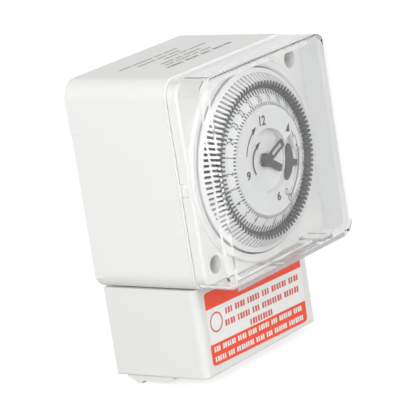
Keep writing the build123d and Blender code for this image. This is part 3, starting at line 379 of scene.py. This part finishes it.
FINISHES = {
    "housing": HOUSING, "terminal_plastic": TERMINAL, "bezel": BEZEL, "case": CASE, "clear": CLEAR,
    "dial": DIAL, "face": FACE, "tappet": TAPPET, "lever": LEVER, "hands": HANDS, "gear": GEAR,
    "steel": STEEL, "plate": PLATE, "brass": BRASS, "copper": COPPER, "rotor": ROTOR,
}
for part in frame["record"]["subparts"]:
    piece = frame["nodes"][part["node"]]
    piece.data.materials.clear()
    piece.data.materials.append(FINISHES[part["material_slot"]])

# ---- Mesh helpers ----


def at(x, z, depth):
    """Drawing coordinates, single values or arrays, as rows of frame coordinates in metres."""
    x, z, depth = np.broadcast_arrays(np.asarray(x, float), z, depth)
    return np.stack([x, -depth, z], axis=-1) * MM


def add_piece(name, points, faces, material, body, smooth=False):
    """Put points and faces into a mesh that rides on a body."""
    mesh = bpy.data.meshes.new(name)
    mesh.from_pydata(np.asarray(points).reshape(-1, 3).tolist(), [], faces)
    mesh.validate()
    mesh.update()
    mesh.polygons.foreach_set("use_smooth", np.full(len(mesh.polygons), smooth))
    piece = bpy.data.objects.new(name, mesh)
    bpy.context.scene.collection.objects.link(piece)
    mesh.materials.append(material)
    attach(piece, body)
    return piece


def grid_faces(rows, columns, closed=False):
    """Quads of a grid of rows by columns; closed joins the last column to the first."""
    last = columns if closed else columns - 1
    r, c = np.meshgrid(np.arange(rows - 1), np.arange(last), indexing="ij")
    n = (c + 1) % columns
    here, beside = r * columns + c, r * columns + n
    quads = np.stack([here, beside, beside + columns, here + columns], -1)
    return quads.reshape(-1, 4).tolist()


def glyphs(text, height, stretch, weight):
    """Flat outline of a word at a height: points (n, 2), centred, and its faces."""
    curve = bpy.data.curves.new("glyphs", "FONT")
    curve.body = text
    curve.size = height
    curve.offset = weight
    curve.resolution_u = 3
    holder = bpy.data.objects.new("glyphs", curve)
    mesh = bpy.data.meshes.new_from_object(holder)
    points = np.array([v.co[:2] for v in mesh.vertices])
    faces = [tuple(p.vertices) for p in mesh.polygons]
    bpy.data.objects.remove(holder)
    bpy.data.curves.remove(curve)
    bpy.data.meshes.remove(mesh)
    low, high = points.min(0), points.max(0)
    scale = height / (high[1] - low[1])
    return (points - (low + high) / 2) * (stretch * scale, scale), faces


def turned(points, degrees_clockwise):
    """Flat points turned about their origin."""
    a = radians(degrees_clockwise)
    return points @ np.array([[cos(a), -sin(a)], [sin(a), cos(a)]])


def around(r, clock_angle):
    """Point on a circle about the dial's axis, at an angle clockwise from the top."""
    a = np.radians(clock_angle)
    return np.stack([r * np.sin(a), r * np.cos(a)], -1)


BLOCK_FILL, BLOCK_GAP = 0.72, 0.75      # shares of the pitch: a block's width, a gap between groups
BLOCK_WIDTHS = (1.0, 0.82, 1.1, 0.9)


class Print:
    """Collects flat prints that lie on one surface and share an ink."""

    def __init__(self, place, mirrored=False):
        """place puts flat points on the surface; mirrored says that it turns them over."""
        self.place, self.points, self.faces, self.count = place, [], [], 0
        self.order = -1 if mirrored else 1

    def add(self, flat, faces):
        """Take in flat points (n, 2) and the faces between them."""
        self.points.append(self.place(flat[:, 0], flat[:, 1]))
        self.faces += [tuple(i + self.count for i in f[::self.order]) for f in faces]
        self.count += len(flat)

    def word(self, text, height, centre, turn, stretch, weight):
        """A word or number about its centre."""
        flat, faces = glyphs(text, height, stretch, weight)
        self.add(turned(flat, turn) + centre, faces)

    def stroke(self, line, widths):
        """A ribbon along a line of points (n, 2), as wide as widths at each point."""
        along = np.gradient(line, axis=0)
        length = np.hypot(along[:, 0], along[:, 1])[:, None]
        side = np.stack([along[:, 1], -along[:, 0]], -1) / length
        half = np.broadcast_to(np.asarray(widths, float), len(line))[:, None] / 2
        self.add(np.concatenate([line + side * half, line - side * half]), grid_faces(2, len(line)))

    def arc(self, radii, angles, widths, steps=24):
        """A stroke round the dial's axis: its radius, clockwise angle and width each run evenly
        between two values."""
        radius, angle, width = [np.linspace(*pair, steps) for pair in (radii, angles, widths)]
        self.stroke(around(radius, angle)[::-1], width[::-1])

    def ring(self, centre, rx, ry, width, steps=40):
        """An ellipse drawn as a line of even width."""
        a = np.linspace(0, 2 * pi, steps, endpoint=False)
        unit = np.stack([np.cos(a), np.sin(a)], -1)
        inner = unit * (rx - width / 2, ry - width / 2) + centre
        outer = unit * (rx + width / 2, ry + width / 2) + centre
        self.add(np.concatenate([outer, inner]), grid_faces(2, steps, closed=True))

    def shape(self, *corners):
        """A flat polygon; its corners are put counter-clockwise."""
        points = np.array(corners, float)
        nxt = np.roll(points, -1, axis=0)
        if (points[:, 0] * nxt[:, 1] - nxt[:, 0] * points[:, 1]).sum() < 0:
            points = points[::-1]
        self.add(points, [tuple(range(len(points)))])

    def ticks(self, angles, inner, outer, width):
        """Radial bars at clockwise angles, from the inner radius to the outer one."""
        u = around(1.0, angles)
        n = np.stack([u[:, 1], -u[:, 0]], -1) * width / 2
        flat = np.stack([u * inner - n, u * inner + n, u * outer + n, u * outer - n], 1)
        corners = np.arange(len(flat) * 4).reshape(-1, 4)
        self.add(flat.reshape(-1, 2), corners.tolist())

    def blocks(self, x, z, height, groups, pitch):
        """A row of plain blocks in groups, to the right of a start point."""
        low, high = z - height / 2, z + height / 2
        for count in groups:
            for i in range(count):
                end = x + pitch * BLOCK_FILL * BLOCK_WIDTHS[(i + count) % len(BLOCK_WIDTHS)]
                self.shape((x, low), (end, low), (end, high), (x, high))
                x += pitch
            x += pitch * BLOCK_GAP

    def make(self, name, material, body, slot):
        """Turn all that was taken in into one piece."""
        return add_piece(name, np.concatenate(self.points), self.faces, material, body)


# ---- Dial print ----


def on_scale(x, z):
    """Points on the conical hour scale: the depth rises evenly from its edge inwards."""
    return at(x, z, SCALE_LOW + SCALE_RISE * (SCALE_R - np.hypot(x, z)) + INK)


def on_face(x, z):
    """Points just above the flat centre face."""
    return at(x, z, FACE_TOP + INK)


def on_recess(x, z):
    """Points just above the floor of the recess for the hands."""
    return at(x, z, RECESS_FLOOR + INK)


HOURS = np.arange(1, 25)
HOUR_ANGLES = DIAL_TURN + (HOUR_ON_TOP - HOURS) * HOUR_STEP
QUARTERS = DIAL_TURN + np.arange(0, 360, QUARTER_STEP)
NUMERAL_R, NUMERAL_HEIGHT = 20.95, 2.15
TICK_START, TICK_END = 18.75, SCALE_R - 0.05
TICKS = (                   # angles, inner radius, outer radius, width
    (QUARTERS, TICK_START, 19.55, 0.5), (QUARTERS, 22.15, TICK_END, 0.6),
    (HOUR_ANGLES, TICK_START, 19.7, 0.6), (HOUR_ANGLES, 22.1, TICK_END, 0.7))
scale_print, numerals = Print(on_scale), Print(on_scale)
for hour, angle in zip(HOURS, HOUR_ANGLES):
    place = around(NUMERAL_R, angle)
    numerals.word(str(hour), NUMERAL_HEIGHT, place, angle, stretch=0.82, weight=0.03)
numerals.make("hour_numerals", PRINT_NUMERAL, "dial", "dial")
for angles, inner, outer, width in TICKS:
    scale_print.ticks(angles, inner, outer, width)
scale_print.make("hour_ticks", PRINT, "dial", "dial")

FACE_TURN = 6.0             # the face's numbers lean this much clockwise
FACE_NUMBERS = (            # text, height, centre, stretch
    ("12", 3.4, (-0.8, 13.8), 0.92), ("9", 3.0, (-12.55, -2.0), 1.15),
    ("6", 3.0, (2.1, -13.0), 1.15))
face_print = Print(on_face)
for text, height, centre, stretch in FACE_NUMBERS:
    face_print.word(text, height, centre, FACE_TURN, stretch, weight=0.1)
# The arrow that shows how the dial turns, and the mark at the setting point
face_print.arc((12.9, 13.2), (-70, -30), (0.45, 0.6))
face_print.shape(around(12.3, -34), around(14.2, -31), around(13.5, -19.5))
face_print.shape((11.0, 6.9), (13.2, 6.3), (13.5, 9.6))
# Marks of the lever's positions: a stroke above, two rings below. The dark arc with a hook beside
# the stroke is painted shadow along the edge of the lever's pocket.
face_print.stroke(np.array([(14.4, 6.3), (14.9, 3.9)]), 0.42)
face_print.arc((16.3, 16.3), (73, 90), (0.3, 0.3))
face_print.shape(around(15.3, 86), around(16.4, 85.5), around(16.3, 90.2))
face_print.ring((6.63, -12.76), 0.7, 1.1, 0.3)
face_print.ring((8.02, -15.05), 0.8, 1.1, 0.35)
face_print.stroke(np.array([(8.02, -14.2), (8.02, -15.05), (8.5, -15.35)]), 0.25)
face_print.make("face_print", PRINT, "module", "face")

floor_print = Print(on_recess)
floor_print.arc((6.4, 5.9), (-124, -30), (0.7, 0.85))
floor_print.shape(around(5.1, -36), around(6.9, -30), around(6.5, -3))
floor_print.make("recess_arrow", PRINT, "module", "face")

# ---- Raised land beside the lever, which carries its upper mark, and the pocket's lip ----


def swept(name, angles, section, steps=24):
    """A closed section of (radius, depth) swept about the dial's axis: x = r sin a, z = r cos a."""
    section = np.array(section)
    flat = around(section[:, 0], np.linspace(*angles, steps)[:, None])
    points = at(flat[..., 0], flat[..., 1], section[:, 1])
    count = len(section)
    ends = [tuple(range(count)), tuple(range(count * (steps - 1), count * steps))[::-1]]
    faces = [q[::-1] for q in grid_faces(steps, count, closed=True)] + ends
    add_piece(name, points, faces, FACE, "module")


# The land keeps clear of the lever's grip inside it and of its pointer below it. The lip lies
# over the pocket's low wall and closes the gap towards the scale.
LAND_R, LAND_BEVEL = 15.05, 0.1
POCKET_R, WALL_R = 17.97, 18.43     # inner and outer side of the low wall
LIP_INNER_R, LIP_R = 18.05, 18.6
LIP_FACE = POCKET_WALL + 0.05
swept("mark_land", (68.05, 90.5), [
    (LAND_R, POCKET), (LAND_R, FACE_TOP - LAND_BEVEL), (LAND_R + LAND_BEVEL, FACE_TOP),
    (WALL_R, FACE_TOP), (WALL_R, POCKET_WALL), (POCKET_R, POCKET_WALL), (POCKET_R, POCKET)])
swept("pocket_lip", (90.6, 147.9), [
    (LIP_INNER_R, POCKET_WALL), (LIP_INNER_R, LIP_FACE), (LIP_R, LIP_FACE), (LIP_R, POCKET_WALL)])

# ---- Painted reflection and painted shade on the clear cover's lower wall ----


def sheet(name, x_span, columns, rows, surface, material, turned_over=False):
    """A grid over x and a second measure v, put on the surface's (z, depth)."""
    x, v = np.meshgrid(np.linspace(*x_span, columns), np.linspace(0, 1, rows))
    z, depth = surface(x, v)
    order = -1 if turned_over else 1
    faces = [q[::order] for q in grid_faces(rows, columns)]
    add_piece(name, at(x, z, depth), faces, material, "front_lid", True)


VEIL_LIFT, VEIL_RIPPLE = 0.06, 0.02
VEIL_WAVES = (2.1, 1.3)    # radians to a millimetre, along x and along the depth
VEIL_DEPTHS = (COVER_REAR + 1.6, COVER_FACE - 1.65)
EDGE_LOW, EDGE_HEIGHT, EDGE_BULGE = 0.15, 1.6, 0.25
EDGE_BEHIND = 0.9           # behind the cover's front


def frost(x, v):
    """Just above the wall's inner side: height = base + ripple times a cosine along x times a
    cosine along the depth."""
    depth = VEIL_DEPTHS[0] + (VEIL_DEPTHS[1] - VEIL_DEPTHS[0]) * v
    ripple = VEIL_RIPPLE * np.cos(x * VEIL_WAVES[0]) * np.cos(depth * VEIL_WAVES[1])
    return COVER_WALL - COVER_HALF + VEIL_LIFT + ripple, depth


def lower_edge(x, v):
    """In the front's lower edge: height rises evenly, depth = base + bulge times its square."""
    return -COVER_HALF + EDGE_LOW + EDGE_HEIGHT * v, COVER_FACE - EDGE_BEHIND + EDGE_BULGE * v ** 2


# The white veil paints the lower wall's reflection of the pale bezel
sheet("cover_painted_reflection", (-33.0, 17.4), 64, 16, frost, PAINTED_REFLECTION, turned_over=True)
# A grey sheet in the front's lower edge: painted shade along that edge
sheet("cover_edge_shade", (-32.0, 31.0), 48, 6, lower_edge, EDGE_SHADE)

# ---- Points of the comb between the tappets ----

WEDGE = ((0, 1, 2), (5, 4, 3), (0, 3, 4, 1), (1, 4, 5, 2), (2, 5, 3, 0))


def comb_points(inner, outer, width, base, top):
    """A wedge in each gap: half width = width / 2 times the way out from the inner radius."""
    u = around(1.0, QUARTERS)[:, None]
    n = np.stack([u[..., 1], -u[..., 0]], -1)
    radius = np.array([inner, outer, outer])[None, :, None]
    half = np.array([0.0, -0.5, 0.5])[None, :, None] * width
    flat = u * radius + n * half
    rows = [at(flat[..., 0], flat[..., 1], depth) for depth in (base, top)]
    points = np.stack(rows, 1).reshape(-1, 3)
    starts = np.arange(len(QUARTERS)) * 6
    faces = [tuple(i + start for i in face) for face in WEDGE for start in starts.tolist()]
    add_piece("comb_points", points, faces, DIAL, "dial")


comb_points(COMB_POINT_R, COMB_POINT_END, COMB_POINT_WIDTH,
            COMB_FACE - COMB_POINT_DEEP, COMB_FACE + COMB_POINT_PROUD)

# ---- Print on the housing's top ----


def on_top(x, depth):
    """Points on the housing's upper side, from x and the distance to the wall."""
    return at(x, HOUSING_TOP + TOP_INK, depth)


TOP_ROWS = (                # x, depth, height, pitch, groups
    (-17.0, 30.2, 1.7, 1.8, (5, 4, 3, 6)), (-13.5, 26.8, 1.1, 1.2, (4, 7, 3, 5)),
    (-12.0, 23.8, 1.1, 1.2, (6, 3, 8)), (-5.0, 19.8, 1.0, 1.1, (7, 4, 9)),
    (-15.5, 16.6, 1.0, 1.1, (9, 5, 6)), (-20.9, 13.0, 1.0, 1.1, (6, 10, 4, 7)))
top_print = Print(on_top, mirrored=True)
for x0, depth, height, pitch, groups in TOP_ROWS:
    top_print.blocks(x0, depth, height, groups, pitch)
top_print.make("top_print", PRINT_SOFT, "base", "housing")

# ---- Label ----

LABEL_TURN = 1.8            # stuck on a little aslant
LABEL_CENTRE = (-0.3, -52.1)
LABEL_WIDTH, LABEL_HEIGHT = 55.4, 25.2
STRIPE_LOW, BAND_HIGH = 6.8, -5.3   # edges of the two coloured bands, from the label's middle
PAPER_LIFT, BAND_LIFT, BAND_TEXT_LIFT = 0.05, 0.08, 0.11
CORNER, LOW_CORNER, SHARP = 1.2, 1.6, 0.02
ROW_HEIGHT, ROW_PITCH = 2.1, 1.5
BAND_ROW_HEIGHT, BAND_ROW_PITCH = 1.8, 1.28
# Rows of blocks: x and height from the label's middle, and the groups
LABEL_ROWS = ((-17.4, 3.9, (3, 4, 5, 3, 6, 4)), (-18.2, -0.1, (4, 5, 3, 8, 6)), (-4.6, -3.7, (9,)))
BAND_ROWS = ((-26.0, -7.2, (3, 6, 4, 4, 5, 3, 6, 4)), (-26.0, -10.6, (5, 3, 8, 4, 3, 6, 7)))


def rounded_outline(width, height, radii, steps=6):
    """Corner points of a rounded rectangle, counter-clockwise from its upper right corner."""
    a = np.linspace(0, pi / 2, steps)
    arc = np.stack([np.cos(a), np.sin(a)], -1)
    parts = []
    for k, (sign, radius) in enumerate(zip(((1, 1), (-1, 1), (-1, -1), (1, -1)), radii)):
        c, s = cos(k * pi / 2), sin(k * pi / 2)
        corner = np.array([width / 2 - radius, height / 2 - radius]) * sign
        parts.append(arc * radius @ np.array([[c, s], [-s, c]]) + corner)
    return np.concatenate(parts)


def on_label(lift):
    """A surface over the terminal cover's front, in the label's own turned coordinates."""
    def place(x, z):
        """Points turned with the label and moved to its centre."""
        flat = turned(np.stack([x, z], -1), LABEL_TURN) + LABEL_CENTRE
        return at(flat[:, 0], flat[:, 1], TERMINAL_FACE + lift)
    return place


def label_layer(name, z0, z1, radii, lift, material):
    """One plain layer of the label, between two heights from its middle."""
    layer = Print(on_label(lift))
    flat = rounded_outline(LABEL_WIDTH, z1 - z0, radii) + (0, (z0 + z1) / 2)
    layer.add(flat, [tuple(range(len(flat)))])
    layer.make(name, material, "terminal_lid", "terminal_plastic")


top, low = LABEL_HEIGHT / 2, -LABEL_HEIGHT / 2
label_layer("label_plate", low, top, (CORNER,) * 4, PAPER_LIFT, LABEL_PAPER)
label_layer("label_stripe", STRIPE_LOW, top, (CORNER, CORNER, SHARP, SHARP), BAND_LIFT, LABEL_RED)
label_layer("label_band", low, BAND_HIGH, (SHARP, SHARP, LOW_CORNER, LOW_CORNER), BAND_LIFT,
            LABEL_RED)

label_rows = Print(on_label(BAND_LIFT))
for x0, z, groups in LABEL_ROWS:
    label_rows.blocks(x0, z, ROW_HEIGHT, groups, ROW_PITCH)
label_rows.ring((-22.9, 1.7), 3.2, 3.2, 0.6)
label_rows.make("label_rows", LABEL_TEXT, "terminal_lid", "terminal_plastic")

band_rows = Print(on_label(BAND_TEXT_LIFT))
for x0, z, groups in BAND_ROWS:
    band_rows.blocks(x0, z, BAND_ROW_HEIGHT, groups, BAND_ROW_PITCH)
band_rows.make("label_band_rows", LABEL_PAPER, "terminal_lid", "terminal_plastic")

# ---- Stage, light and camera ----


def seen_level(tree, link, seen, unseen):
    """One strength for the camera, mirrors and clear plastic, and another for all other light."""
    kind = tree.new("ShaderNodeLightPath").outputs
    rays = scalar(tree, link, "MAXIMUM", kind["Is Camera Ray"], kind["Is Glossy Ray"])
    rays = scalar(tree, link, "MAXIMUM", rays, kind["Is Transmission Ray"])
    return scalar(tree, link, "MULTIPLY_ADD", rays, seen - unseen, unseen)


def studio_white(name, albedo, glow):
    """A pale floor that shows white, and keeps a soft shadow."""
    mat = new_material(name)
    tree, link, shader = nodes_of(mat)
    shader.inputs["Base Color"].default_value = (albedo, albedo, albedo, 1)
    shader.inputs["Roughness"].default_value = 1.0
    shader.inputs["Specular IOR Level"].default_value = 0.0
    shader.inputs["Emission Color"].default_value = (1, 1, 1, 1)
    link(seen_level(tree, link, seen=glow, unseen=0.0), shader.inputs["Emission Strength"])
    return mat


def area_light(name, place, target, size, power):
    """A soft round lamp aimed at a target."""
    data = bpy.data.lights.new(name, "AREA")
    data.shape = "DISK"
    data.size = size
    data.energy = power
    lamp = bpy.data.objects.new(name, data)
    bpy.context.scene.collection.objects.link(lamp)
    place, target = Vector(place), Vector(target)
    aim = (target - place).to_track_quat("-Z", "Y").to_matrix().to_4x4()
    lamp.matrix_world = Matrix.Translation(place) @ aim


FLOOR_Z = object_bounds()[0].z
FLOOR_HALF = 6.0
FLOOR_CORNERS = ((-1, -1), (1, -1), (1, 1), (-1, 1))
floor = bpy.data.objects.new("studio_floor", bpy.data.meshes.new("studio_floor"))
floor.data.from_pydata([(x * FLOOR_HALF, y * FLOOR_HALF, FLOOR_Z) for x, y in FLOOR_CORNERS],
                       [], [(0, 1, 2, 3)])
floor.data.materials.append(studio_white("studio_white", albedo=0.5, glow=0.72))
bpy.context.scene.collection.objects.link(floor)

CENTRE = Vector((0, -0.03, -0.015))
area_light("fill", (-1.15, -0.45, 0.45), CENTRE, size=0.9, power=11.5)
area_light("key", (0.35, -1.25, 0.38), CENTRE, size=0.8, power=6.0)

world = bpy.data.worlds.new("studio_world")
bpy.context.scene.world = world
world.use_nodes = True
tree, link = world.node_tree.nodes, world.node_tree.links.new
background = tree["Background"]
background.inputs["Color"].default_value = (1, 1, 1, 1)
link(seen_level(tree, link, seen=1.0, unseen=0.5), background.inputs["Strength"])

CAMERA_AT = Vector((-739.88, -613.06, 212.19)) * MM
RIGHT = Vector((0.5860092, -0.7957995, -0.1526317))
UP = Vector((0.2800045, 0.0221135, 0.9597440))
BACK = RIGHT.cross(UP)
LENS, SENSOR = 247.97, 36.0         # millimetres
CLIP_START, CLIP_END = 0.05, 50.0   # metres
camera = bpy.data.objects.new("camera", bpy.data.cameras.new("camera"))
bpy.context.scene.collection.objects.link(camera)
camera.data.lens = LENS
camera.data.sensor_width = SENSOR
camera.data.sensor_height = SENSOR
camera.data.sensor_fit = "HORIZONTAL"
camera.data.clip_start = CLIP_START
camera.data.clip_end = CLIP_END
turn = Matrix((RIGHT, UP, BACK)).transposed()
camera.matrix_world = Matrix.Translation(CAMERA_AT) @ turn.to_4x4()
bpy.context.scene.camera = camera
bpy.context.scene.view_settings.view_transform = "Standard"
